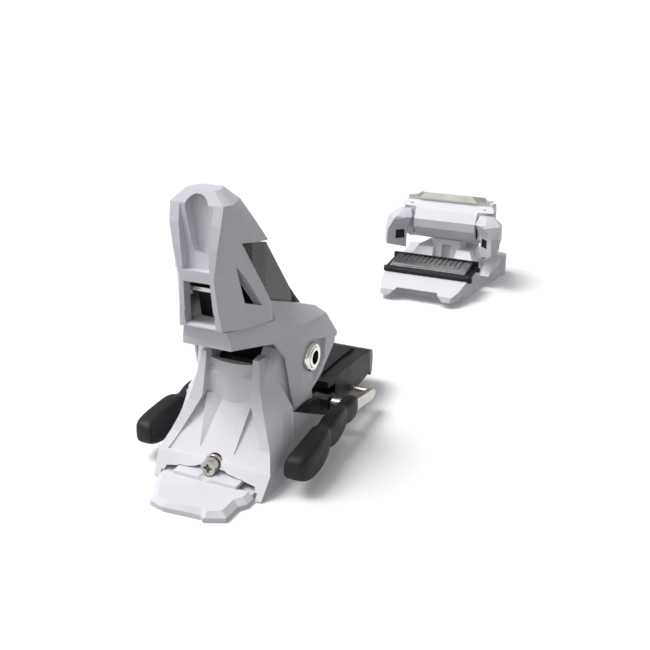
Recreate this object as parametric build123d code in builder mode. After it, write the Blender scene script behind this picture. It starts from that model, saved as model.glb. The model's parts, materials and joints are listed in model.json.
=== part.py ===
"""Step-in alpine ski binding: a toe unit and a heel unit with its brake, in the skiing position.

Millimetres. +Y points to the ski's tip, +X to the skier's right, +Z up. z = 0 is the ski's top
surface, and the origin is on it, half way between the heel track's tail and the toe's nose.
Stations are distances forward of the tail.
"""

import os

from build123d import *

os.makedirs("parts", exist_ok=True)

# ---- driving dimensions
length = 410.0
tail_y = -length / 2
pin_fit = 0.05
body_gap = 0.4

# heel unit stations and heights
pivot_y, pivot_z = 72.0, 51.5
hinge_y, hinge_z, hinge_pin_r = 33.0, 72.6, 1.5
parting_z = 75.8
screw_z = 9.6
carriage_half = 28.6
carriage_rear, carriage_front = 23.5, 112.0
track_half, track_thick, track_front = 23.4, 3.0, 128.0
rail_half, rail_top, groove_half = 16.5, 6.4, 13.5
spring_y, spring_foot, spring_head = 59.3, 14.0, 32.0
follower_foot, follower_top, follower_r = 36.0, 46.4, 7.2
brake_y, brake_z = 100.0, 15.0
mount_hole_r = 2.8
heel_hole_x, heel_hole_y = 39.0, 62.0

# toe unit stations and heights
afd_screw_y = 336.0
toe_bore_y, toe_bore_z, toe_bore_r = 381.1, 44.0, 9.6
toe_housing_half = 35.3
finger_slot_x, finger_slot_y = (0.4, 15.9), (376.0, 381.0)
wing_x, wing_y, wing_pin_r = 28.0, 366.2, 2.0
toe_hole_x, toe_hole_y, toe_hole_rear = 40.0, 64.0, 334.0


# ---- planes and outlines
def side(x=0.0):
    """A plane along the ski at x: points are (station, height)."""
    return Plane((x, tail_y, 0), x_dir=(0, 1, 0), z_dir=(1, 0, 0))


def level(z=0.0):
    """A plane parallel to the ski: points are (x, station)."""
    return Plane((0, tail_y, z), x_dir=(1, 0, 0), z_dir=(0, 0, 1))


def across(station):
    """A plane across the ski, facing the tail: points are (x, height)."""
    return Plane((0, tail_y + station, 0), x_dir=(1, 0, 0), z_dir=(0, -1, 0))


def both_sides(half):
    """A closed outline, mirrored about x = 0, from the points of its right half."""
    return list(half) + [(-x, y) for x, y in reversed(half)]


def prism(plane, points, amount, both=False, mode=Mode.ADD, taper=0.0):
    """A polygon pushed out of its plane."""
    with BuildSketch(plane) as profile:
        Polygon(*points, align=None)
    extrude(profile.sketch, amount=amount, both=both, mode=mode, taper=taper)


def tiers(sections, mode=Mode.ADD):
    """Flat facets through mirrored outlines, one at each height."""
    faces = []
    for z, half in sections:
        with BuildSketch(level(z)) as section:
            Polygon(*both_sides(half), align=None)
        faces.append(section.sketch.faces()[0])
    loft(sections=faces, ruled=True, mode=mode)


def rod(plane, radius, amount, both=False, mode=Mode.ADD, at=(0, 0)):
    """A round bar standing on a plane."""
    with BuildSketch(plane) as profile:
        with Locations(at):
            Circle(radius)
    extrude(profile.sketch, amount=amount, both=both, mode=mode)


def tube(plane, outer, inner, amount, both=False, at=(0, 0)):
    """A round tube standing on a plane."""
    with BuildSketch(plane) as profile:
        with Locations(at):
            Circle(outer)
            Circle(inner, mode=Mode.SUBTRACT)
    extrude(profile.sketch, amount=amount, both=both)


def brick(x, y, z, mode=Mode.ADD):
    """A block from its limits along x, station and height."""
    prism(level(z[0]), [(x[0], y[0]), (x[1], y[0]), (x[1], y[1]), (x[0], y[1])], z[1] - z[0], mode=mode)


def coil(radius, wire, turns, height):
    """A compression spring of round wire, standing on the origin along +Z."""
    with BuildPart() as spring:
        with BuildLine() as path:
            Helix(pitch=height / turns, height=height, radius=radius)
        with BuildSketch(Plane(origin=path.line @ 0, z_dir=path.line % 0)):
            Circle(wire)
        sweep(path=path.line)
    return spring.part


def save(part, label):
    """Name a finished piece and write it."""
    part.label = label
    export_step(part, f"parts/{label}.step")


# ---- heel track
with BuildPart() as heel_track:
    tail_low = [(-15, 2), (-7, 0), (11, 1.5), (13, 0), (22, 4), (22, 14), (track_half + 1.2, 17.5),
                (track_half + 1.2, 23), (-track_half - 1.2, 23), (-21.5, 15)]
    prism(level(0), tail_low, 2.2)
    tail_high = [(-12.5, 4), (-6, 2.2), (12, 3), (14, 2), (19.5, 5.2), (19.5, 15), (22, 18.5),
                 (22, 23), (-22, 23), (-18.5, 16)]
    with BuildSketch(level(2.2)) as low_edge:
        Polygon(*tail_low, align=None)
    with BuildSketch(level(4.8)) as high_edge:
        Polygon(*tail_high, align=None)
    loft(sections=[low_edge.sketch.faces()[0], high_edge.sketch.faces()[0]], ruled=True)
    brick((-track_half, track_half), (22, track_front), (0, track_thick))
    brick((-groove_half, groove_half), (22, track_front), (track_thick, rail_top))
    brick((-rail_half, rail_half), (22, track_front), (rail_top - 1.8, rail_top))
    rod(across(20.0), 4.5, -(track_front - 8), at=(0, screw_z), mode=Mode.SUBTRACT)
    for slot in range(22):
        brick((-7, 7), (34 + 4 * slot, 36 + 4 * slot), (4.4, rail_top + 1), mode=Mode.SUBTRACT)
    for station in (48.0, 48.0 + heel_hole_y):
        for x in (-heel_hole_x / 2, heel_hole_x / 2):
            rod(level(-1), mount_hole_r, 12, at=(x, station), mode=Mode.SUBTRACT)
save(heel_track.part, "heel_track")

# ---- heel carriage: a ramp between two ears, with the jaw's pivot block ahead of it
with BuildPart() as heel_carriage:
    tiers([
        (body_gap, [(28.0, carriage_rear), (carriage_half, 40), (carriage_half, 55)]),
        (10.5, [(29.4, 29.8), (29.0, 42), (carriage_half, 55)]),
        (18.5, [(26.0, 36.0), (28.0, 45), (28.4, 55)]),
        (33.0, [(19.6, 42.3), (25.0, 50), (27.8, 55)]),
        (45.0, [(16.4, 45.0), (18.4, 50), (20.0, 55)]),
        (56.0, [(15.0, 47.5), (15.4, 51), (15.4, 54)]),
    ])
    tiers([
        (11.5, [(24.5, 10), (24.5, 31.5)]),
        (36.0, [(12.4, 10), (12.4, 50.0)]),
        (63.0, [(11.8, 10), (11.8, 50.5)]),
    ], mode=Mode.SUBTRACT)
    for sign in (-1, 1):
        rib = [(sign * 12.0, 46.0), (sign * 12.0, 50.5), (sign * 3.5, 50.5)]
        toe_of_rib = [(sign * 9.0, 33.5), (sign * 9.2, 34.5), (sign * 8.0, 34.5)]
        with BuildSketch(level(36)) as rib_top:
            Polygon(*rib, align=None)
        with BuildSketch(level(15)) as rib_foot:
            Polygon(*toe_of_rib, align=None)
        loft(sections=[rib_foot.sketch.faces()[0], rib_top.sketch.faces()[0]], ruled=True)
    with BuildSketch(level(30)) as drum:
        with Locations((0, 67.5)):
            Circle(20)
        with Locations((0, 40)):
            Rectangle(23.5, 24, mode=Mode.INTERSECT)
    extrude(drum.sketch, amount=24)
    with BuildPart(mode=Mode.PRIVATE) as pivot_block:
        block = [(48, 10), (48, 46), (54, 54.5), (58, 58.6), (64, 60.8), (72, 61.4), (79, 58.8), (82, 52),
                 (82, 36), (84, 24), (84, 10)]
        prism(side(), block, 30, both=True)
        block_plan = [(16.8, 46), (20.6, 54), (23.8, 64), (23.8, 90)]
        prism(level(0), both_sides(block_plan), 80, mode=Mode.INTERSECT)
    add(pivot_block.part)
    brick((-carriage_half, carriage_half), (54, carriage_front), (body_gap, 10.4))
    # side fairings that run down to the brake
    for sign in (-1, 1):
        prism(side(sign * 27.0), [(54, 10), (54, 31), (88, 14), (100, 10.4)], sign * 1.6)
    # room for the cam between the block's cheeks, over the bore of the release spring
    prism(side(), [(40, 53.0), (52, 52.0), (54, 46), (62, 40), (92, 34), (92, 80), (40, 80)], 11.6, both=True,
          mode=Mode.SUBTRACT)
    rod(level(spring_foot), follower_r + pin_fit, 50, at=(0, spring_y), mode=Mode.SUBTRACT)
    rod(side(), 5.0 + pin_fit, 40, both=True, at=(pivot_y, pivot_z), mode=Mode.SUBTRACT)
    # tunnel for the track, and the arch that opens round the length screw
    tunnel = [(groove_half + body_gap, rail_top + body_gap), (groove_half + body_gap, 0)]
    prism(across(20), both_sides(tunnel), -105, mode=Mode.SUBTRACT)
    brick((-rail_half - body_gap, rail_half + body_gap), (20, 125),
          (rail_top - 1.8 - body_gap, rail_top + body_gap), mode=Mode.SUBTRACT)
    brick((-track_half - 1.6, track_half + 1.6), (20, 125), (0, track_thick + body_gap), mode=Mode.SUBTRACT)
    prism(across(10), [(-25.2, -1), (-23.0, 5.4), (-9, 7.4), (-6.5, 8.5), (6.5, 8.5), (9, 7.6), (23.2, 5.6),
                       (25.4, -1)], -24, mode=Mode.SUBTRACT)
    rod(across(20), 4.1 + pin_fit, -70, at=(0, screw_z), mode=Mode.SUBTRACT)
    rod(across(20), 4.4, -13, at=(0, screw_z), mode=Mode.SUBTRACT)
save(heel_carriage.part, "heel_carriage")

# ---- length screw with its thread, its retainer and the forward-pressure spring
screw_head_y, thread_end_y = 25.5, 84.0
with BuildPart() as length_screw:
    rod(across(screw_head_y), 3.6, -4.0, at=(0, screw_z))
    rod(across(screw_head_y + 4), 2.6, -(thread_end_y - screw_head_y - 4), at=(0, screw_z))
    for turn in range(11):
        rod(across(40 + 4 * turn), 4.0, -2.0, at=(0, screw_z))
    with BuildSketch(across(screw_head_y - 1)) as recess:
        with Locations((0, screw_z)):
            Rectangle(4.4, 1.1)
            Rectangle(1.1, 4.4)
            Rectangle(2.6, 2.6, rotation=45)
    extrude(recess.sketch, amount=-3.4, mode=Mode.SUBTRACT)
save(length_screw.part, "length_screw")

with BuildPart() as screw_retainer:
    tube(across(30.2), 4.4, 2.6 + pin_fit, -1.4, at=(0, screw_z))
save(screw_retainer.part, "screw_retainer")

# ---- hollow pivot bolts: they turn in the carriage's block and carry the jaw and its cam
with BuildPart() as pivot_bolts:
    for sign in (-1, 1):
        tube(side(sign * 4.0), 5.0, 3.2, sign * 27.2, at=(pivot_y, pivot_z))
save(pivot_bolts.part, "pivot_bolts")

with BuildPart() as pivot_rings:
    for sign in (-1, 1):
        with BuildSketch(side(sign * 28.6)) as ring:
            with Locations((pivot_y, pivot_z)):
                Circle(7.0)
                Circle(5.0, mode=Mode.SUBTRACT)
        extrude(ring.sketch, amount=sign * 2.2)
    chamfer(pivot_rings.part.edges().filter_by(GeomType.CIRCLE).filter_by(
        lambda e: abs(abs(e.center().X) - 30.8) < 0.01 and e.radius > 6), length=0.9)
save(pivot_rings.part, "pivot_rings")

# ---- jaw: the collar that laps the boot's heel, with the cheeks that carry it on the pivot
with BuildPart() as heel_jaw:
    collar = [(12.0, 29.2), (19.0, 44), (25.0, 54), (28.5, 62), (31.0, 78), (31.5, 96)]
    skirt = [(9.0, 36), (16.0, 48), (22.0, 58), (26.8, 66), (29.5, 79), (30.5, 96)]
    shoulder = [(8.0, 26), (14.0, 38), (17.6, 47), (18.6, 56), (18.6, 70), (18.2, 84)]
    tiers([(24.0, skirt), (66.8, collar), (70.0, collar), (84.5, shoulder)])
    outline = [(20, 66.8), (20, 75.4), (50.9, 75.4), (50.9, 84.2), (54, 83.0), (79, 74.4), (95.6, 56.4),
               (95.6, 54.0), (88.5, 47.5), (79.5, 39.5), (69, 31.5), (61.5, 29), (59.5, 38), (56.5, 55),
               (50, 64.6), (30, 66.8)]
    prism(side(), outline, 40, both=True, mode=Mode.INTERSECT)
    # hollow over the pivot block and the ears
    prism(level(20), both_sides([(9.5, 33), (18.4, 44.5), (22.6, 54.5), (25.0, 62), (25.0, 110)]), 46.2,
          mode=Mode.SUBTRACT)
    # the boot's heel, below the edge that the collar holds down
    rod(level(20), 35.5, 34.2, at=(0, 110.5), mode=Mode.SUBTRACT)
    # seat of the cup, and the well that the ears pass through as the jaw opens
    cup_seat = [(17.9, 49), (18.0, 74), (19.0, 76), (23.6, 97.2)]
    prism(level(54), both_sides(cup_seat), 40, mode=Mode.SUBTRACT)
    prism(level(50), both_sides([(12.6, 38.5), (17.4, 45.5), (17.9, 50), (17.9, 62)]), 40, mode=Mode.SUBTRACT)
    # the recess round each pivot bolt, and the bolt's bore
    for sign in (-1, 1):
        facet = [(61, 38), (63.5, 62.5), (83.5, 57.0), (83, 47.5), (76, 39.5), (68, 33.5)]
        prism(side(sign * 28.6), facet, sign * 8, mode=Mode.SUBTRACT, taper=-8)
        rod(side(sign * 28.6), 7.0, sign * 8, at=(pivot_y, pivot_z), mode=Mode.SUBTRACT)
    rod(side(), 5.0, 40, both=True, at=(pivot_y, pivot_z), mode=Mode.SUBTRACT)
    # pocket and pin hole of the lever's hinge
    brick((-8.2, 8.2), (30.0, 36.4), (69.2, 76), mode=Mode.SUBTRACT)
    rod(side(), hinge_pin_r, 10.5, both=True, at=(hinge_y, hinge_z), mode=Mode.SUBTRACT)
save(heel_jaw.part, "heel_jaw")

# ---- cup: the dark insert behind the boot's heel
with BuildPart() as heel_cup:
    cup_outline = [(34.2, 112.8), (51.2, 110.2), (79.2, 74.6), (95.4, 56.8), (95.4, 54.4), (88, 54.4),
                   (84.5, 64), (66, 72), (51.3, 83.6)]
    prism(side(), cup_outline, 30, both=True)
    cup_plan = [(12.6, 30), (17.2, 40), (17.8, 50), (17.9, 74.0), (18.9, 76), (23.5, 97)]
    prism(level(50), both_sides(cup_plan), 70, mode=Mode.INTERSECT)
    # hollowed to the boot's round heel, and cored out behind
    spine = Plane((0, tail_y + 79, 74.4), x_dir=(1, 0, 0), z_dir=(0, -28, 36))
    rod(spine, 36, 130, both=True, at=(0, 31.5), mode=Mode.SUBTRACT)
    core = [(40, 106.5), (28, 122), (14, 100), (40, 60), (66, 60), (66, 75), (50.6, 90)]
    prism(side(), core, 14.6, both=True, mode=Mode.SUBTRACT)
save(heel_cup.part, "heel_cup")

# ---- lever: a hollow fin with a pole recess, a rear window and a triangular window in each side
crossbar = [(30.0, 91.4), (34.0, 91.4), (34.0, 93.4), (30.0, 93.4)]
crossbar_half = 12.4
with BuildPart() as heel_lever:
    tiers([
        (parting_z, [(10.6, 25.2), (17.4, 38), (20.8, 48), (21.6, 56)]),
        (88.0, [(9.2, 24.0), (17.8, 36), (20.0, 46), (20.0, 72)]),
        (100.0, [(8.4, 23.5), (17.2, 34), (19.0, 44), (18.8, 62)]),
        (112.0, [(10.6, 23.4), (16.6, 32), (18.2, 42), (18.0, 51.5)]),
        (122.0, [(12.2, 24.2), (15.8, 31), (16.0, 37), (15.4, 45.0)]),
        (130.0, [(12.6, 26.2), (14.2, 30), (13.2, 35), (10.8, 42.5)]),
        (135.4, [(6.8, 29.0), (7.8, 31), (7.2, 35), (4.8, 39)]),
    ])
    front_of_lever = [(32.8, 113.9), (51.6, 110.9), (70, 130), (110, 100), (90, 60), (50.5, 75), (50.5, 83.2)]
    prism(side(), front_of_lever, 40, both=True, mode=Mode.SUBTRACT)
    tiers([
        (70.0, [(7.0, 29.0), (13.6, 40), (17.2, 49), (17.6, 58)]),
        (88.0, [(6.0, 27.6), (13.4, 38), (16.4, 47), (16.4, 72)]),
        (100.0, [(5.2, 27.0), (12.6, 36), (15.2, 45), (15.0, 62)]),
        (105.8, [(6.0, 33.0), (11.8, 37), (13.4, 44), (13.0, 56)]),
    ], mode=Mode.SUBTRACT)
    # rear window with its sloping sill
    tiers([
        (78.5, [(7.2, 10), (7.2, 34)]),
        (97.5, [(6.4, 10), (6.4, 34)]),
    ], mode=Mode.SUBTRACT)
    prism(side(), [(20, 74.6), (33, 82.4), (33, 84), (20, 84)], 7.4, both=True, mode=Mode.SUBTRACT)
    # side windows
    prism(side(), [(30.6, 104.6), (34.2, 87.6), (43.8, 84.2)], 30, both=True, mode=Mode.SUBTRACT)
    # pole recess
    with BuildSketch(across(20)) as scoop_mouth:
        with BuildLine():
            ThreePointArc((-5.6, 128), (0, 133.8), (5.6, 128))
            Line((5.6, 128), (3.4, 111))
            ThreePointArc((3.4, 111), (0, 108.6), (-3.4, 111))
            Line((-3.4, 111), (-5.6, 128))
        make_face()
    extrude(scoop_mouth.sketch, amount=-11.5, mode=Mode.SUBTRACT)
    # dished surround that ends in a ledge
    tiers([
        (102.5, [(6.4, 15), (6.4, 26.6)]),
        (109.0, [(6.6, 15), (6.6, 27.4)]),
        (131.0, [(9.6, 15), (8.2, 26.0)]),
    ], mode=Mode.SUBTRACT)
    prism(side(), crossbar, crossbar_half, both=True, mode=Mode.SUBTRACT)
    # relief under the rear edge, so that the lever can tip back, and the hinge's knuckle
    prism(side(), [(20, 75), (20, 77.3), (34.5, 75.85), (34.5, 75)], 20, both=True, mode=Mode.SUBTRACT)
    with BuildSketch(side()) as knuckle:
        with Locations((hinge_y, hinge_z)):
            Circle(2.6)
        Polygon((31.2, hinge_z), (35.4, hinge_z), (35.4, 78.5), (31.2, 77.6), align=None)
    extrude(knuckle.sketch, amount=7.9, both=True)
    rod(side(), hinge_pin_r + pin_fit, 20, both=True, at=(hinge_y, hinge_z), mode=Mode.SUBTRACT)
save(heel_lever.part, "heel_lever")

with BuildPart() as lever_pin:
    rod(side(), hinge_pin_r, 10.5, both=True, at=(hinge_y, hinge_z))
save(lever_pin.part, "lever_pin")

with BuildPart() as lever_crossbar:
    prism(side(), crossbar, crossbar_half, both=True)
save(lever_crossbar.part, "lever_crossbar")

# ---- the dark block behind the rear window that the crossbar bears on
with BuildPart() as lever_stop:
    stop = [(36.5, 78.5), (35.0, 90.0), (35.0, 96.5), (40.0, 99.5), (47.0, 90.5), (53.5, 84.0), (62.0, 76.5),
            (62.0, 73.6), (47.0, 73.6), (42.0, 73.0)]
    prism(side(), stop, 6.8, both=True)
    brick((-14.6, 14.6), (54.5, 60.0), (76.0, 79.5))
    rod(side(), 3.0, 8, both=True, at=(42.5, 83.0), mode=Mode.SUBTRACT)
save(lever_stop.part, "lever_stop")

# ---- release spring, the nut that sets it, its screw and follower, and the jaw's cam
with BuildPart() as release_spring:
    add(coil(5.4, 1.15, 4.0, spring_head - spring_foot - 2.6).moved(
        Location((0, tail_y + spring_y, spring_foot + 1.3))))
save(release_spring.part, "release_spring")

with BuildPart() as heel_din_nut:
    tube(level(spring_head + 0.2), 6.9, 2.2 + pin_fit, 2.2, at=(0, spring_y))
save(heel_din_nut.part, "heel_din_nut")

with BuildPart() as cam_follower:
    rod(level(follower_foot), follower_r, follower_top - follower_foot, at=(0, spring_y))
    chamfer(cam_follower.part.edges().group_by(Axis.Z)[-1], length=2.2)
    rod(level(follower_foot), 2.2 + pin_fit, 20, at=(0, spring_y), mode=Mode.SUBTRACT)
    rod(level(follower_foot + 1.4), 3.0 + pin_fit, 20, at=(0, spring_y), mode=Mode.SUBTRACT)
save(cam_follower.part, "cam_follower")

with BuildPart() as heel_din_screw:
    rod(level(follower_foot + 1.5), 3.0, follower_top - follower_foot - 2.2, at=(0, spring_y))
    rod(level(spring_foot + 8.5), 2.2, follower_foot - spring_foot - 7.0, at=(0, spring_y))
    with BuildSketch(level(follower_top - 0.7)) as slot:
        with Locations((0, spring_y)):
            Rectangle(1.2, 7.0)
    extrude(slot.sketch, amount=-1.6, mode=Mode.SUBTRACT)
save(heel_din_screw.part, "heel_din_screw")

nose_y, nose_z, nose_r = 59.24, 49.3, 2.6
with BuildPart() as release_cam:
    with BuildSketch(side()) as lobe:
        with Locations((pivot_y, pivot_z)):
            Circle(8.0)
        with Locations((nose_y, nose_z)):
            Circle(nose_r)
        Polygon((nose_y, nose_z + nose_r), (nose_y, nose_z - nose_r), (66.0, 47.0), (pivot_y, pivot_z - 7),
                (pivot_y, pivot_z + 8), align=None)
    extrude(lobe.sketch, amount=11.0, both=True)
    rod(side(), 5.0, 20, both=True, at=(pivot_y, pivot_z), mode=Mode.SUBTRACT)
save(release_cam.part, "release_cam")

# ---- brake: a base on the carriage's nose, a pedal, a pair of flat steel arms and their pads
pad_in, pad_out = 35.5, 45.5
arm_in, arm_out = 36.0, 39.0
brake_axle_r = 2.5
with BuildPart() as brake_base:
    base_outline = [(60, 10.6), (60, 26.2), (76, 26.2), (86, 24.5), (87, 15.5), (93.6, 15.5), (95.4, 18.6),
                    (98, 20.4), (102, 20.4), (104.4, 18.4), (105.2, 15.0), (104.6, 10.6)]
    prism(side(), base_outline, 26.7, both=True)
    brick((-24.0, 24.0), (50, 84.3), (5, 40), mode=Mode.SUBTRACT)
    brick((-18.4, 18.4), (91, 120), (5, 40), mode=Mode.SUBTRACT)
    rod(side(), brake_axle_r, 40, both=True, at=(brake_y, brake_z), mode=Mode.SUBTRACT)
save(brake_base.part, "brake_base")

with BuildPart() as brake_pedal:
    pedal_outline = [(98.6, 23.2), (98.8, 26.6), (128, 27.0), (150, 25.4), (160, 21.5), (163.5, 15.5),
                     (160, 9.5), (154, 8.6), (151, 12.5), (136, 11.0), (106.2, 12.2), (106.2, 23.2)]
    prism(side(), pedal_outline, 27.0, both=True)
    plan = [(25.0, 96), (26.2, 110), (27.0, 125), (27.0, 150), (22.5, 166)]
    prism(level(0), both_sides(plan), 40, mode=Mode.INTERSECT)
    # raised tread
    prism(side(), [(103, 26.0), (105, 28.4), (142, 28.0), (148, 25.2)], 19.0, both=True)
    # hollow underneath
    brick((-21, 21), (110, 148), (5, 21.5), mode=Mode.SUBTRACT)
    # axle boss between the base's cheeks, open in the middle for the spring
    with BuildSketch(side()) as boss:
        with Locations((brake_y, brake_z)):
            Circle(4.3)
        Polygon((brake_y - 2.0, 17), (brake_y + 4.2, 14), (111, 14), (111, 24), (brake_y + 1, 24), align=None)
    extrude(boss.sketch, amount=18.0, both=True)
    brick((-9.4, 9.4), (94, 108), (10, 22.4), mode=Mode.SUBTRACT)
    rod(side(), brake_axle_r + pin_fit, 40, both=True, at=(brake_y, brake_z), mode=Mode.SUBTRACT)
    rod(side(), 1.8, 40, both=True, at=(124, 13.4), mode=Mode.SUBTRACT)
save(brake_pedal.part, "brake_pedal")

with BuildPart() as brake_axle:
    rod(side(), brake_axle_r, 26.7, both=True, at=(brake_y, brake_z))
save(brake_axle.part, "brake_axle")

with BuildPart() as brake_arms:
    arm = [(50, 14.0), (50, 18.6), (96, 19.4), (104, 18.2), (127, 14.4), (129.5, 11.0), (126, 9.0),
           (100, 12.4), (92, 14.2)]
    for sign in (-1, 1):
        prism(side(sign * arm_in), arm, sign * (arm_out - arm_in))
        # spacer to the axle's end, and the leg that drives the pedal
        rod(side(sign * 27.1), 3.6, sign * 9.4, at=(brake_y, brake_z))
        rod(side(sign * 22.0), 1.8, sign * 14.4, at=(124, 13.4))
save(brake_arms.part, "brake_arms")

with BuildPart() as brake_pads:
    pad = [(33.5, 10.6), (31.5, 15.0), (34.0, 20.4), (52, 23.2), (62, 23.6), (66, 21.8), (74, 24.4),
           (84, 24.6), (87, 22.6), (99, 22.6), (102, 20.6), (101, 11.5), (92, 10.4), (88, 12.4), (78, 10.0),
           (72, 7.8), (66, 10.2), (58, 6.6), (46, 5.4), (42, 8.8)]
    for sign in (-1, 1):
        plan = [(sign * pad_in, 30), (sign * (pad_out - 1.5), 30), (sign * pad_out, 36), (sign * pad_out, 56),
                (sign * 41.6, 70), (sign * 40.6, 104), (sign * 34.6, 104), (sign * 34.6, 66)]
        with BuildPart(mode=Mode.PRIVATE) as blank:
            prism(side(sign * 34), pad, sign * 12)
            prism(level(0), plan, 40, mode=Mode.INTERSECT)
            prism(side(sign * arm_in), arm, sign * (arm_out - arm_in), mode=Mode.SUBTRACT)
            rod(side(sign * 27.1), 3.7, sign * 9.4, at=(brake_y, brake_z), mode=Mode.SUBTRACT)
        add(blank.part)
save(brake_pads.part, "brake_pads")

with BuildPart() as brake_spring:
    with BuildLine() as spring_path:
        Helix(pitch=1.6, height=16.0, radius=3.3)
    with BuildSketch(Plane(origin=spring_path.line @ 0, z_dir=spring_path.line % 0)):
        Circle(0.55)
    sweep(path=spring_path.line)
spring_seat = Plane((-8.0, tail_y + brake_y, brake_z), x_dir=(0, 1, 0), z_dir=(1, 0, 0))
save(brake_spring.part.moved(Location(spring_seat)), "brake_spring")

# ---- toe base: mounting plate, neck and the ramps beside the gliding plate's carrier
with BuildPart() as toe_base:
    tiers([
        (0.0, [(30.0, 318), (31.5, 352), (37.0, 380), (37.5, 400), (26.0, 410)]),
        (6.0, [(29.0, 320), (31.0, 352), (36.5, 381), (37.0, 400), (25.0, 409)]),
        (10.0, [(27.0, 324), (29.0, 352), (34.5, 383), (34.5, 399), (22.0, 405)]),
    ])
    # rounded front bosses
    for x in (-33.0, 33.0):
        rod(level(0), 6.6, 15.5, at=(x, 396))
        prism(side(x - 4), [(356, 9), (370, 14), (396, 15.5), (396, 9)], 8)
    # ramps up to the neck
    for sign in (-1, 1):
        ramp = [(sign * 8, 352), (sign * 29, 350), (sign * 31, 362), (sign * 22, 392), (sign * 8, 392)]
        crest = [(sign * 9, 364), (sign * 20, 362), (sign * 22, 368), (sign * 19, 390), (sign * 9, 390)]
        with BuildSketch(level(9.9)) as foot_of_ramp:
            Polygon(*ramp, align=None)
        with BuildSketch(level(24)) as top_of_ramp:
            Polygon(*crest, align=None)
        loft(sections=[foot_of_ramp.sketch.faces()[0], top_of_ramp.sketch.faces()[0]], ruled=True)
    # neck that carries the housing
    tiers([
        (9.0, [(12.0, 364), (14.0, 372), (14.0, 396)]),
        (30.0, [(10.0, 368), (13.0, 374), (13.0, 396)]),
    ])
    brick((-3.4, 3.4), (360, 371), (9, 26), mode=Mode.SUBTRACT)
    # well for the carrier and its screw
    brick((-24.4, 24.4), (300, 350), (4.0, 30), mode=Mode.SUBTRACT)
    brick((-32, 32), (300, 349), (6.5, 30), mode=Mode.SUBTRACT)
    # threaded boss for the carrier's screw
    rod(level(3.9), 5.0, 2.5, at=(0, afd_screw_y))
    rod(level(-1), 2.0 + pin_fit, 12, at=(0, afd_screw_y), mode=Mode.SUBTRACT)
    for station in (toe_hole_rear, toe_hole_rear + toe_hole_y):
        for x in (-toe_hole_x / 2, toe_hole_x / 2):
            rod(level(-1), mount_hole_r, 40, at=(x, station), mode=Mode.SUBTRACT)
save(toe_base.part, "toe_base")

# ---- gliding plate: a white carrier with an arched flap, a black frame and the ribbed steel plate
with BuildPart() as afd_carrier:
    carrier = [(299.2, 3.9), (300.2, 8.4), (318.9, 14.3), (320.4, 14.5), (343, 17.6), (346, 17.4), (346, 7.4),
               (322, 7.4), (304, 3.9)]
    prism(side(), carrier, 31.0, both=True)
    plan = [(23.4, 298), (27.0, 301), (29.2, 307), (31.0, 318), (31.0, 350)]
    prism(level(0), both_sides(plan), 40, mode=Mode.INTERSECT)
    # the arch between the two feet
    prism(across(290), both_sides([(21.5, 2), (14.8, 9.2)]), -32, mode=Mode.SUBTRACT)
    rod(level(0), 2.6, 40, at=(0, afd_screw_y), mode=Mode.SUBTRACT)
    rod(level(14.2), 4.4, 20, at=(0, afd_screw_y), mode=Mode.SUBTRACT)
save(afd_carrier.part, "afd_carrier")

with BuildPart() as afd_frame:
    frame_outline = [(319.6, 14.8), (343, 18.0), (344.6, 20.6), (344.0, 23.2), (342.0, 23.0), (342.0, 19.4),
                     (321.6, 16.5), (321.6, 18.8), (320.0, 18.6), (319.0, 17.0)]
    prism(side(), frame_outline, 32.4, both=True)
    prism(level(0), both_sides([(31.0, 316), (32.4, 322), (32.4, 346), (30.0, 349)]), 40, mode=Mode.INTERSECT)
    # hooks at the right end
    for station, z in ((321.4, 16.6), (341.6, 19.0)):
        brick((31.0, 34.0), (station - 1.8, station + 1.6), (z - 2.8, z))
    rod(level(0), 4.4, 40, at=(0, afd_screw_y), mode=Mode.SUBTRACT)
save(afd_frame.part, "afd_frame")

with BuildPart() as afd_plate:
    plate_outline = [(322.0, 16.9), (341.6, 19.7), (341.6, 22.6), (338, 22.7), (325.5, 20.4), (322.0, 19.2)]
    prism(side(), plate_outline, 28.4, both=True)
    rib_groove = [(327, 30), (329.5, 20.5), (338, 22.0), (344, 22.0), (344, 30)]
    for step in range(13):
        prism(side(-22.9 + step * 3.7), rib_groove, 1.5, mode=Mode.SUBTRACT)
    prism(side(), [(322.8, 22), (323.6, 19.2), (324.8, 19.5), (324.6, 22)], 30, both=True, mode=Mode.SUBTRACT)
save(afd_plate.part, "afd_plate")

with BuildPart() as afd_screw:
    rod(level(0.6), 2.0, 14.4, at=(0, afd_screw_y))
    rod(level(14.4), 4.0, 2.6, at=(0, afd_screw_y))
    with BuildSketch(level(17.0)) as drive:
        with Locations((0, afd_screw_y)):
            Rectangle(5.0, 1.0)
            Rectangle(1.0, 5.0)
    extrude(drive.sketch, amount=-1.4, mode=Mode.SUBTRACT)
save(afd_screw.part, "afd_screw")

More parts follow.
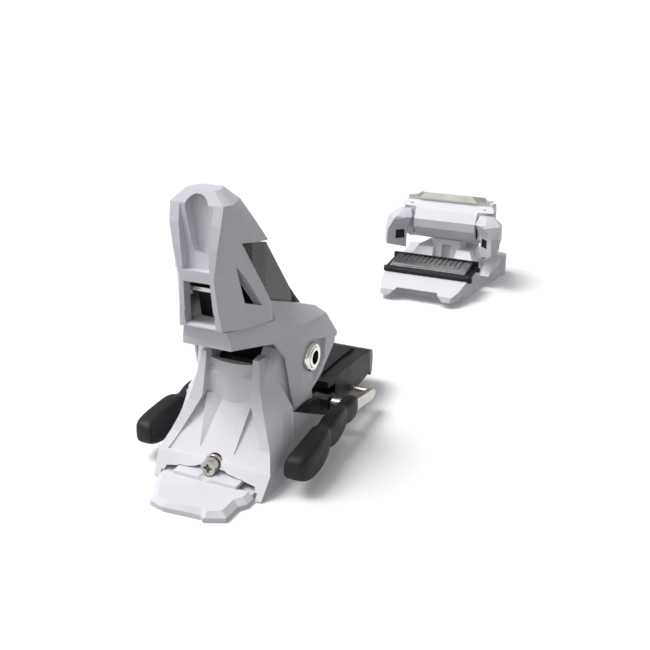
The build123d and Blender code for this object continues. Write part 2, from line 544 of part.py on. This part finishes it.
# ---- toe housing: a faceted barrel across the ski
wing_slot_z = (34.2, 44.8)
with BuildPart() as toe_housing:
    barrel = [(367.0, 59.4), (362.2, 53.2), (357.4, 46.4), (357.6, 40.2), (364.6, 32.2), (368.5, 30.2),
              (388, 30.2), (394, 36), (394.8, 46), (391, 54), (384, 57.6)]
    prism(side(), barrel, toe_housing_half, both=True)
    front_plan = [(toe_housing_half, 350), (toe_housing_half, 372), (31.0, 386), (27.0, 397)]
    prism(level(20), both_sides(front_plan), 50, mode=Mode.INTERSECT)
    end_profile = [(30.5, 28), (33.4, 40), (toe_housing_half, 54), (toe_housing_half, 56.4), (31.8, 60.4)]
    prism(across(340), both_sides(end_profile), -80, mode=Mode.INTERSECT)
    # bore for the release spring, the setting screw's hole and the slot that its nut's finger shows through
    rod(side(), toe_bore_r, 26.4, both=True, at=(toe_bore_y, toe_bore_z), mode=Mode.SUBTRACT)
    rod(side(20), 4.8, 30, at=(toe_bore_y, toe_bore_z), mode=Mode.SUBTRACT)
    brick(finger_slot_x, finger_slot_y, (50, 62), mode=Mode.SUBTRACT)
    # recesses for the wings, and the pockets that their tails swing in
    for sign in (-1, 1):
        head_room = [(23.6, 350), (23.6, 363.0), (30.5, 364.0), (40, 372.6), (40, 350)]
        prism(level(wing_slot_z[0]), [(sign * x, y) for x, y in head_room], 20.4, mode=Mode.SUBTRACT)
        slot = [(24.0, 350), (24.0, 362.6), (21, 364.5), (21, 371.0), (40, 371.0), (40, 350)]
        prism(level(wing_slot_z[0]), [(sign * x, y) for x, y in slot], wing_slot_z[1] - wing_slot_z[0],
              mode=Mode.SUBTRACT)
        pocket = [(21.8, 363.8), (19, 366.6), (15, 369.6), (15, 377.0), (27, 377.0), (27, 363.8)]
        prism(level(wing_slot_z[0]), [(sign * x, y) for x, y in pocket], wing_slot_z[1] - wing_slot_z[0],
              mode=Mode.SUBTRACT)
        rod(level(31), wing_pin_r, 26, at=(sign * wing_x, wing_y), mode=Mode.SUBTRACT)
save(toe_housing.part, "toe_housing")

with BuildPart() as toe_wing_pins:
    for sign in (-1, 1):
        rod(level(31.0), wing_pin_r, 26.0, at=(sign * wing_x, wing_y))
save(toe_wing_pins.part, "toe_wing_pins")


# ---- wings: each turns about its pin, wraps the boot's toe and carries dark pads
def mirrored(points, sign):
    """Plan points of the right wing, or of the left one for sign -1."""
    return [(sign * x, y) for x, y in points]


def wing(sign):
    """One toe wing, on the right for +1 and on the left for -1."""
    head = [
        (22.6, [(29.1, 358.0), (40.5, 345.8), (43.0, 350.5), (42.0, 360.0), (29.8, 359.8)]),
        (33.6, [(28.8, 357.2), (40.0, 345.6), (43.6, 351.0), (42.4, 360.4), (29.6, 360.0)]),
        (35.4, [(28.8, 357.0), (39.9, 345.6), (43.6, 351.2), (42.6, 364.4), (29.2, 364.4)]),
        (39.0, [(28.4, 356.8), (39.6, 345.6), (43.6, 351.8), (42.6, 364.2), (28.4, 363.6)]),
        (47.4, [(24.4, 355.6), (34.8, 346.2), (43.3, 355.8), (42.6, 363.4), (25.0, 362.4)]),
        (52.8, [(26.5, 359.6), (32.4, 358.0), (36.6, 360.8), (36.0, 362.8), (27.0, 362.4)]),
    ]
    with BuildPart() as body:
        faces = []
        for z, points in head:
            with BuildSketch(level(z)) as section:
                Polygon(*mirrored(points, sign), align=None)
            faces.append(section.sketch.faces()[0])
        loft(sections=faces, ruled=True)
        prism(across(330), [(sign * 28, 22.8), (sign * 46, 30.0), (sign * 46, 10), (sign * 28, 10)], -50,
              mode=Mode.SUBTRACT)
        arm_plan = [(24.8, 362.2), (29.0, 358.2), (37.0, 358.6), (37.0, 364.2), (31.0, 369.0), (25.0, 369.0)]
        arm_z = wing_slot_z[0] + body_gap
        arm_height = wing_slot_z[1] - wing_slot_z[0] - 2 * body_gap
        prism(level(arm_z), mirrored(arm_plan, sign), arm_height)
        rod(level(arm_z), 3.8, arm_height, at=(sign * wing_x, wing_y))
        # tail that pushes the piston in
        tail = [(24.2, 365.1), (20.3, 374.1), (19.9, 375.6), (20.6, 376.2), (22.0, 375.8), (24.2, 372.2),
                (28.0, 369.8), (28.0, 365.6)]
        prism(level(arm_z), mirrored(tail, sign), arm_height)
        rod(level(30), wing_pin_r + pin_fit, 30, at=(sign * wing_x, wing_y), mode=Mode.SUBTRACT)
        # pockets of the two pads, and a slot on top
        rear_pocket = [(30.0, 350.0), (35.4, 345.0), (35.4, 354.2), (30.0, 359.4)]
        prism(level(pad_z[0]), mirrored(rear_pocket, sign), pad_z[1] - pad_z[0], mode=Mode.SUBTRACT)
        side_pocket = [(42.2, 352.4), (46.0, 352.4), (46.0, 356.8), (42.2, 356.8)]
        prism(level(pad_z[0]), mirrored(side_pocket, sign), pad_z[1] - pad_z[0], mode=Mode.SUBTRACT)
        top_slot = [(30.6, 349.8), (34.4, 346.6), (35.2, 347.6), (31.4, 350.8)]
        prism(level(47.0), mirrored(top_slot, sign), 4.0, mode=Mode.SUBTRACT)
    return body.part


def wing_pad(sign):
    """The two dark pads set into a wing: one towards the boot and one on the outside."""
    with BuildPart() as body:
        rear_pad = [(30.0, 357.2), (35.4, 351.6), (35.4, 354.2), (30.0, 359.4)]
        prism(level(pad_z[0]), mirrored(rear_pad, sign), pad_z[1] - pad_z[0])
        side_pad = [(42.2, 352.4), (43.0, 352.4), (43.0, 356.8), (42.2, 356.8)]
        prism(level(pad_z[0]), mirrored(side_pad, sign), pad_z[1] - pad_z[0])
    return body.part


pad_z = (30.8, 37.8)
for sign, name in ((-1, "left"), (1, "right")):
    save(wing(sign), f"{name}_wing")
    save(wing_pad(sign), f"{name}_wing_pad")

# ---- toe release spring: it stands between the left piston and a nut on the right piston's screw
nut_x = (8.0, 12.0)
piston_x = (15.4, 19.4)
with BuildPart() as toe_spring:
    add(coil(7.0, 1.1, 5.0, 21.0).moved(
        Location(Plane((-14.2, tail_y + toe_bore_y, toe_bore_z), x_dir=(0, 1, 0), z_dir=(1, 0, 0)))))
save(toe_spring.part, "toe_spring")

with BuildPart() as left_piston:
    rod(side(-piston_x[0]), 9.4, piston_x[0] - piston_x[1], at=(toe_bore_y, toe_bore_z))
save(left_piston.part, "left_piston")

with BuildPart() as right_piston:
    tube(side(piston_x[0]), 9.4, 3.0 + pin_fit, piston_x[1] - piston_x[0], at=(toe_bore_y, toe_bore_z))
save(right_piston.part, "right_piston")

with BuildPart() as toe_din_screw:
    rod(side(piston_x[1] + 0.1), 4.5, 30.4 - piston_x[1], at=(toe_bore_y, toe_bore_z))
    rod(side(1.0), 3.0, 20.0, at=(toe_bore_y, toe_bore_z))
    with BuildSketch(side(30.5)) as slot:
        with Locations((toe_bore_y, toe_bore_z)):
            Rectangle(7.0, 1.4)
            Rectangle(1.4, 7.0)
    extrude(slot.sketch, amount=-2.4, mode=Mode.SUBTRACT)
save(toe_din_screw.part, "toe_din_screw")

with BuildPart() as toe_din_nut:
    tube(side(nut_x[0]), 9.3, 3.0 + pin_fit, nut_x[1] - nut_x[0], at=(toe_bore_y, toe_bore_z))
    # finger that shows the setting in the window
    brick((nut_x[0] + 0.5, nut_x[1] - 0.5), (finger_slot_y[0] + 0.6, finger_slot_y[1] - 0.6), (50, 59.8))
save(toe_din_nut.part, "toe_din_nut")

# ---- steel bridge plate on the housing, with a raised rim round the setting window
with BuildPart() as toe_top_plate:
    plate_profile = [(366.6, 59.5), (383.6, 57.72), (383.6, 59.4), (368.0, 61.2), (366.2, 60.2)]
    prism(side(), plate_profile, 32.6, both=True)
    plate_plan = [(31.0, 365), (32.6, 371), (32.0, 378), (28.6, 386)]
    prism(level(50), both_sides(plate_plan), 20, mode=Mode.INTERSECT)
    tiers([
        (60.6, [(22.5, 365.4), (27.0, 372), (26.0, 379), (21.0, 383)]),
        (65.2, [(17.6, 366.4), (22.0, 372), (21.4, 378), (17.0, 381.5)]),
    ])
    # the rim falls away towards the front
    prism(side(), [(365.0, 65.6), (386, 60.6), (386, 70), (365, 70)], 40, both=True, mode=Mode.SUBTRACT)
    window_seat = [(15.0, 369.6), (19.6, 372.4), (18.8, 376.5), (14.4, 379.6)]
    tiers([
        (60.2, window_seat),
        (66.0, [(16.0, 367.8), (20.6, 371.6), (20.0, 377.4), (15.6, 380.4)]),
    ], mode=Mode.SUBTRACT)
    brick(finger_slot_x, finger_slot_y, (55, 60.2), mode=Mode.SUBTRACT)
save(toe_top_plate.part, "toe_top_plate")

with BuildPart() as setting_window:
    tiers([
        (60.2, window_seat),
        (61.4, [(12.0, 371.2), (16.0, 373.4), (15.4, 375.8), (12.0, 377.6)]),
    ])
save(setting_window.part, "setting_window")
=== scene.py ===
import json
import math

import bmesh
import bpy
from mathutils import Matrix, Vector


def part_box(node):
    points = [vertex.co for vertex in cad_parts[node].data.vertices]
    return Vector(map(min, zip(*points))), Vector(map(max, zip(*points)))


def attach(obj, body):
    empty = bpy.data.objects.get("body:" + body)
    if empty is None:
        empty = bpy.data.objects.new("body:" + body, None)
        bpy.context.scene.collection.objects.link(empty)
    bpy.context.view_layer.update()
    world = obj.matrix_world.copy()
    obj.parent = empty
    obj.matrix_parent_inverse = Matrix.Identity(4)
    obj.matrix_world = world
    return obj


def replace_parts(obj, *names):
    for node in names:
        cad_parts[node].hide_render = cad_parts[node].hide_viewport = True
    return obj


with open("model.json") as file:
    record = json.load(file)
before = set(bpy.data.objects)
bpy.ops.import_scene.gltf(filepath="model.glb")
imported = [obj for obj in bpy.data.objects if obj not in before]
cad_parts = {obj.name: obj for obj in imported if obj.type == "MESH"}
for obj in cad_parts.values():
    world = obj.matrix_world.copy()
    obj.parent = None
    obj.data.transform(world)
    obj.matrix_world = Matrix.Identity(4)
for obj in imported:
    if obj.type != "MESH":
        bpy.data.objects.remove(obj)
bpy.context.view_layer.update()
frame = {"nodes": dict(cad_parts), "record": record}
nodes = frame["nodes"]
scene = bpy.context.scene


# ---- shader building blocks
def new_material(name):
    """An empty node material: its tree, its Principled shader and its object-space coordinates."""
    material = bpy.data.materials.new(name)
    material.use_nodes = True
    tree = material.node_tree
    tree.nodes.clear()
    shader = tree.nodes.new("ShaderNodeBsdfPrincipled")
    output = tree.nodes.new("ShaderNodeOutputMaterial")
    tree.links.new(shader.outputs["BSDF"], output.inputs["Surface"])
    place = tree.nodes.new("ShaderNodeTexCoord").outputs["Object"]
    return material, tree, shader, place


def noise(tree, place, scale, detail=3.0, rough=0.55, stretch=(1, 1, 1)):
    """Noise in the piece's own space; the scale is in cycles per metre."""
    mapping = tree.nodes.new("ShaderNodeMapping")
    mapping.inputs["Scale"].default_value = stretch
    tree.links.new(place, mapping.inputs["Vector"])
    made = tree.nodes.new("ShaderNodeTexNoise")
    made.inputs["Scale"].default_value = scale
    made.inputs["Detail"].default_value = detail
    made.inputs["Roughness"].default_value = rough
    tree.links.new(mapping.outputs["Vector"], made.inputs["Vector"])
    return made.outputs["Fac"]


def spread(tree, value, low, high, start=0.3, end=0.7):
    """Maps a noise onto a range of values."""
    made = tree.nodes.new("ShaderNodeMapRange")
    made.inputs["From Min"].default_value = start
    made.inputs["From Max"].default_value = end
    made.inputs["To Min"].default_value = low
    made.inputs["To Max"].default_value = high
    tree.links.new(value, made.inputs["Value"])
    return made.outputs["Result"]


def ramp(tree, value, *stops):
    """Colours along a noise, as (position, colour) stops."""
    made = tree.nodes.new("ShaderNodeValToRGB")
    elements = made.color_ramp.elements
    elements[0].position, elements[0].color = stops[0][0], (*stops[0][1], 1)
    elements[1].position, elements[1].color = stops[-1][0], (*stops[-1][1], 1)
    for position, colour in stops[1:-1]:
        elements.new(position).color = (*colour, 1)
    tree.links.new(value, made.inputs["Fac"])
    return made.outputs["Color"]


def relief(tree, shader, height, depth, strength=1.0, under=None):
    """Bumps the surface by a height in metres, over another bump if there is one."""
    made = tree.nodes.new("ShaderNodeBump")
    made.inputs["Strength"].default_value = strength
    made.inputs["Distance"].default_value = depth
    tree.links.new(height, made.inputs["Height"])
    if under is not None:
        tree.links.new(under, made.inputs["Normal"])
    tree.links.new(made.outputs["Normal"], shader.inputs["Normal"])
    return made.outputs["Normal"]


def add_object(name, data):
    """Puts new data into the scene as an object."""
    made = bpy.data.objects.new(name, data)
    scene.collection.objects.link(made)
    return made


# ---- finishes
def moulded(name, dark, mid, light, rough, coat=0.0, grain=1500.0, grain_depth=0.00002, level=0.5):
    """Moulded or painted plastic: faint mottling, uneven gloss and a fine moulded grain."""
    material, tree, shader, place = new_material(name)
    cloud = noise(tree, place, 38.0, 4.0, 0.6)
    tree.links.new(ramp(tree, cloud, (0.28, dark), (0.5, mid), (0.74, light)), shader.inputs["Base Color"])
    tree.links.new(spread(tree, noise(tree, place, 160.0, 3.0), rough - 0.06, rough + 0.07),
                   shader.inputs["Roughness"])
    ripple = relief(tree, shader, noise(tree, place, 70.0, 2.0), 0.00012, 0.35)
    relief(tree, shader, noise(tree, place, grain, 2.0), grain_depth, 0.5, ripple)
    shader.inputs["Coat Weight"].default_value = coat
    shader.inputs["Coat Roughness"].default_value = 0.18
    shader.inputs["Specular IOR Level"].default_value = level
    return material


def metal(name, dark, light, rough, stretch=(1, 1, 1), lines=900.0, depth=0.00001):
    """Bare or plated metal: tone and gloss vary, with fine lines along the way it was worked."""
    material, tree, shader, place = new_material(name)
    shader.inputs["Metallic"].default_value = 1.0
    patches = noise(tree, place, 90.0, 5.0, 0.65)
    tree.links.new(ramp(tree, patches, (0.3, dark), (0.7, light)), shader.inputs["Base Color"])
    brushed = noise(tree, place, lines, 2.0, 0.5, stretch)
    tree.links.new(spread(tree, brushed, rough - 0.05, rough + 0.09), shader.inputs["Roughness"])
    relief(tree, shader, brushed, depth, 0.5)
    return material


def window():
    """Clear plastic with a faint haze."""
    material, tree, shader, place = new_material("clear_window")
    haze = noise(tree, place, 240.0, 3.0)
    tree.links.new(ramp(tree, haze, (0.3, (0.80, 0.83, 0.82)), (0.7, (0.93, 0.95, 0.95))),
                   shader.inputs["Base Color"])
    tree.links.new(spread(tree, haze, 0.03, 0.10), shader.inputs["Roughness"])
    shader.inputs["Transmission Weight"].default_value = 0.85
    shader.inputs["IOR"].default_value = 1.49
    return material


finishes = {
    "white_plastic": moulded(
        "white_plastic", (0.655, 0.655, 0.69), (0.675, 0.675, 0.71), (0.695, 0.695, 0.725),
        rough=0.42, coat=0.08),
    "white_shell": moulded(
        "white_shell", (0.605, 0.605, 0.65), (0.625, 0.625, 0.67), (0.645, 0.645, 0.685),
        rough=0.38, coat=0.10, grain=2200.0, grain_depth=0.00001),
    "black_plastic": moulded(
        "black_plastic", (0.006, 0.006, 0.007), (0.009, 0.009, 0.010), (0.014, 0.014, 0.016),
        rough=0.46, grain=1300.0, grain_depth=0.00005, level=0.28),
    "pad_plastic": moulded(
        "pad_plastic", (0.007, 0.007, 0.008), (0.011, 0.011, 0.012), (0.017, 0.017, 0.019),
        rough=0.54, grain=900.0, grain_depth=0.00008, level=0.30),
    "dark_gloss": moulded(
        "dark_gloss", (0.010, 0.009, 0.009), (0.018, 0.017, 0.015), (0.030, 0.028, 0.025),
        rough=0.24, coat=0.12, grain=2500.0, grain_depth=0.000006, level=0.32),
    "steel": metal("steel", (0.50, 0.47, 0.43), (0.66, 0.63, 0.58), 0.30, (1, 0.05, 1)),
    "bright_steel": metal(
        "bright_steel", (0.66, 0.66, 0.57), (0.82, 0.82, 0.76), 0.13, lines=500.0, depth=0.000006),
    "spring_steel": metal("spring_steel", (0.20, 0.20, 0.21), (0.33, 0.33, 0.34), 0.34),
    "glide_steel": metal(
        "glide_steel", (0.22, 0.22, 0.225), (0.32, 0.32, 0.33), 0.36, (0.05, 1, 1), lines=1100.0),
    "brass": metal("brass", (0.50, 0.36, 0.14), (0.66, 0.49, 0.22), 0.28),
    "clear_window": window(),
}

# ---- the CAD nodes take their finish by slot, and moulded edges get a small radius
edge_radius = {
    "white_plastic": 0.00045, "white_shell": 0.00055, "black_plastic": 0.0004, "pad_plastic": 0.0007,
    "dark_gloss": 0.0003, "glide_steel": 0.0002, "steel": 0.0002, "bright_steel": 0.0003, "brass": 0.0002,
}
unbevelled = {"release_spring", "toe_spring", "brake_spring", "setting_window", "length_screw"}
same_point = 0.000002   # corners this close are joined
flat_within = 0.6       # faces this close to one plane are merged, in degrees
sharp_from = 24         # edges that turn at least this far are rounded, in degrees


def soften(piece, width):
    """Rounds the sharp edges and shades the rest smoothly."""
    weld = piece.modifiers.new("weld", "WELD")
    weld.merge_threshold = same_point
    flat = piece.modifiers.new("flat", "DECIMATE")
    flat.decimate_type = "DISSOLVE"
    flat.angle_limit = math.radians(flat_within)
    bevel = piece.modifiers.new("bevel", "BEVEL")
    bevel.width = width
    bevel.segments = 3
    bevel.limit_method = "ANGLE"
    bevel.angle_limit = math.radians(sharp_from)
    bevel.use_clamp_overlap = True
    normals = piece.modifiers.new("normals", "WEIGHTED_NORMAL")
    normals.keep_sharp = True


for row in frame["record"]["subparts"]:
    piece = nodes[row["node"]]
    slot = row["material_slot"]
    piece.data.materials.clear()
    piece.data.materials.append(finishes[slot])
    if row["node"] not in unbevelled and slot in edge_radius:
        soften(piece, edge_radius[slot])

# ---- brake pads: moulded grips with waisted, rounded sections along each arm
pad_low, pad_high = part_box("brake_pads")
pad_length = pad_high.y - pad_low.y
pad_height = pad_high.z - pad_low.z
pad_inner = 0.0346      # x of the right pad's inner side
ring_points = 16
side_squareness = 0.45  # 1 is an ellipse, 0 a rectangle
top_squareness = 0.55
# along the pad from its free end: place, bottom, top and outer face, as shares of the pad's own box
grip = [
    (0.000, 0.30, 0.62, 0.62), (0.018, 0.22, 0.72, 0.86), (0.050, 0.15, 0.80, 0.95), (0.11, 0.06, 0.84, 1.00),
    (0.20, 0.02, 0.88, 1.00), (0.30, 0.05, 0.92, 0.98), (0.385, 0.16, 0.95, 0.93), (0.43, 0.24, 0.91, 0.83),
    (0.465, 0.27, 0.85, 0.74), (0.50, 0.19, 0.86, 0.74), (0.56, 0.14, 0.96, 0.76), (0.64, 0.20, 0.99, 0.76),
    (0.72, 0.27, 0.98, 0.72), (0.765, 0.34, 0.90, 0.64), (0.80, 0.33, 0.89, 0.64), (0.86, 0.27, 0.93, 0.66),
    (0.94, 0.29, 0.91, 0.64), (0.985, 0.34, 0.84, 0.58), (1.00, 0.42, 0.72, 0.48),
]


def superellipse(turn):
    """A point of the rounded rectangle that fills -1 to 1 both ways."""
    across, upward = math.cos(turn), math.sin(turn)
    return (math.copysign(abs(across) ** side_squareness, across),
            math.copysign(abs(upward) ** top_squareness, upward))


def pad_section(sign, along, bottom, top, face):
    """The ring of points round the pad at one place along it."""
    y = pad_low.y + along * pad_length
    z_low = pad_low.z + bottom * pad_height
    z_high = pad_low.z + top * pad_height
    x_face = pad_inner + face * (pad_high.x - pad_inner)
    ring = []
    for step in range(ring_points):
        across, upward = superellipse(2 * math.pi * (step + 0.5) / ring_points)
        x = (pad_inner + x_face) / 2 + (x_face - pad_inner) / 2 * across
        z = (z_low + z_high) / 2 + (z_high - z_low) / 2 * upward
        ring.append((sign * x, y, z))
    return ring


def brake_pad(sign, name):
    """One pad on the right for +1, on the left for -1, inside the space of its CAD solid."""
    points = [point for place in grip for point in pad_section(sign, *place)]
    faces = []
    for start in range(0, len(points) - ring_points, ring_points):
        for step in range(ring_points):
            after = (step + 1) % ring_points
            near, far = start, start + ring_points
            faces.append((near + step, near + after, far + after, far + step))
    faces.append(tuple(range(ring_points)))
    faces.append(tuple(range(len(points) - ring_points, len(points))))
    mesh = bpy.data.meshes.new(name)
    mesh.from_pydata(points, [], faces)
    outward = bmesh.new()
    outward.from_mesh(mesh)
    bmesh.ops.recalc_face_normals(outward, faces=outward.faces)
    outward.to_mesh(mesh)
    outward.free()
    mesh.polygons.foreach_set("use_smooth", [True] * len(mesh.polygons))
    mesh.materials.append(finishes["pad_plastic"])
    pad = add_object(name, mesh)
    smooth = pad.modifiers.new("smooth", "SUBSURF")
    smooth.levels = smooth.render_levels = 1
    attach(pad, "brake")
    return pad


for sign, name in ((1, "right_brake_pad"), (-1, "left_brake_pad")):
    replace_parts(brake_pad(sign, name), "brake_pads")

# ---- floor, surround, light and camera
floor_size = 24.0
floor_gap = 0.0002      # the floor lies this far under the part
surround_radius = 11.5
light_from = (-0.55, -0.12, 0.82)
darkest, brightest = 0.22, 0.60
cool_white = (0.985, 0.985, 1.0, 1)
camera_place = (0.1974, -0.4811, 0.2148)
yaw, pitch, roll = math.radians(24.9), math.radians(20.9), math.radians(0.34)
focal_length, film_width = 50.35, 36.0


def add_floor():
    """A matt, nearly white floor with a barely uneven tone."""
    material, tree, shader, place = new_material("studio_floor")
    tone = ramp(tree, noise(tree, place, 0.6, 2.0), (0.3, (0.93, 0.93, 0.94)), (0.7, (0.95, 0.95, 0.955)))
    tree.links.new(tone, shader.inputs["Base Color"])
    shader.inputs["Roughness"].default_value = 0.9
    bpy.ops.mesh.primitive_plane_add(size=floor_size, location=(0, 0, -floor_gap))
    floor = bpy.context.object
    floor.name = "studio_floor"
    floor.data.materials.append(material)
    floor.visible_diffuse = False


def add_surround():
    """A plain white surround behind everything: it is seen, and lights nothing."""
    material = bpy.data.materials.new("studio_surround")
    material.use_nodes = True
    tree = material.node_tree
    tree.nodes.clear()
    glow = tree.nodes.new("ShaderNodeEmission")
    glow.inputs["Strength"].default_value = 1.0
    tree.links.new(glow.outputs["Emission"], tree.nodes.new("ShaderNodeOutputMaterial").inputs["Surface"])
    bpy.ops.mesh.primitive_uv_sphere_add(segments=64, ring_count=32, radius=surround_radius)
    surround = bpy.context.object
    surround.name = "studio_surround"
    surround.data.materials.append(material)
    surround.visible_diffuse = False
    surround.visible_glossy = False
    surround.visible_transmission = False
    surround.visible_shadow = False


def add_sky():
    """Soft light from all round, brightest from the upper left and dimmest opposite."""
    world = bpy.data.worlds.new("studio")
    world.use_nodes = True
    tree = world.node_tree
    facing = tree.nodes.new("ShaderNodeVectorMath")
    facing.operation = "DOT_PRODUCT"
    facing.inputs[1].default_value = light_from
    tree.links.new(tree.nodes.new("ShaderNodeTexCoord").outputs["Generated"], facing.inputs[0])
    strength = spread(tree, facing.outputs["Value"], darkest, brightest, -1.0, 1.0)
    background = tree.nodes["Background"]
    background.inputs["Color"].default_value = cool_white
    tree.links.new(strength, background.inputs["Strength"])
    scene.world = world


def add_sun(name, travel, strength, spread_degrees):
    """A broad, soft light from one direction."""
    data = bpy.data.lights.new(name, "SUN")
    data.energy = strength
    data.angle = math.radians(spread_degrees)
    lamp = add_object(name, data)
    lamp.location = (0, 0, 1)
    lamp.rotation_mode = "QUATERNION"
    lamp.rotation_quaternion = Vector(travel).to_track_quat("-Z", "Y")


def add_camera():
    """The camera behind the heel unit, a little to its right, looking down along both units."""
    ahead = Vector((-math.sin(yaw) * math.cos(pitch), math.cos(yaw) * math.cos(pitch), -math.sin(pitch)))
    level_right = Vector((math.cos(yaw), math.sin(yaw), 0))
    level_up = level_right.cross(ahead)
    right = math.cos(roll) * level_right + math.sin(roll) * level_up
    up = -math.sin(roll) * level_right + math.cos(roll) * level_up
    lens = bpy.data.cameras.new("camera")
    lens.sensor_width = film_width
    lens.lens = focal_length
    lens.clip_start = 0.02
    camera = add_object("camera", lens)
    turned = Matrix((right, up, -ahead)).transposed().to_4x4()
    camera.matrix_world = Matrix.Translation(camera_place) @ turned
    scene.camera = camera


add_floor()
add_surround()
add_sky()
add_sun("key", (0.46, 0.30, -1.0), 2.60, 34)
add_sun("rear_fill", (0.15, 0.9, -0.55), 0.22, 50)
add_camera()
scene.view_settings.view_transform = "Standard"
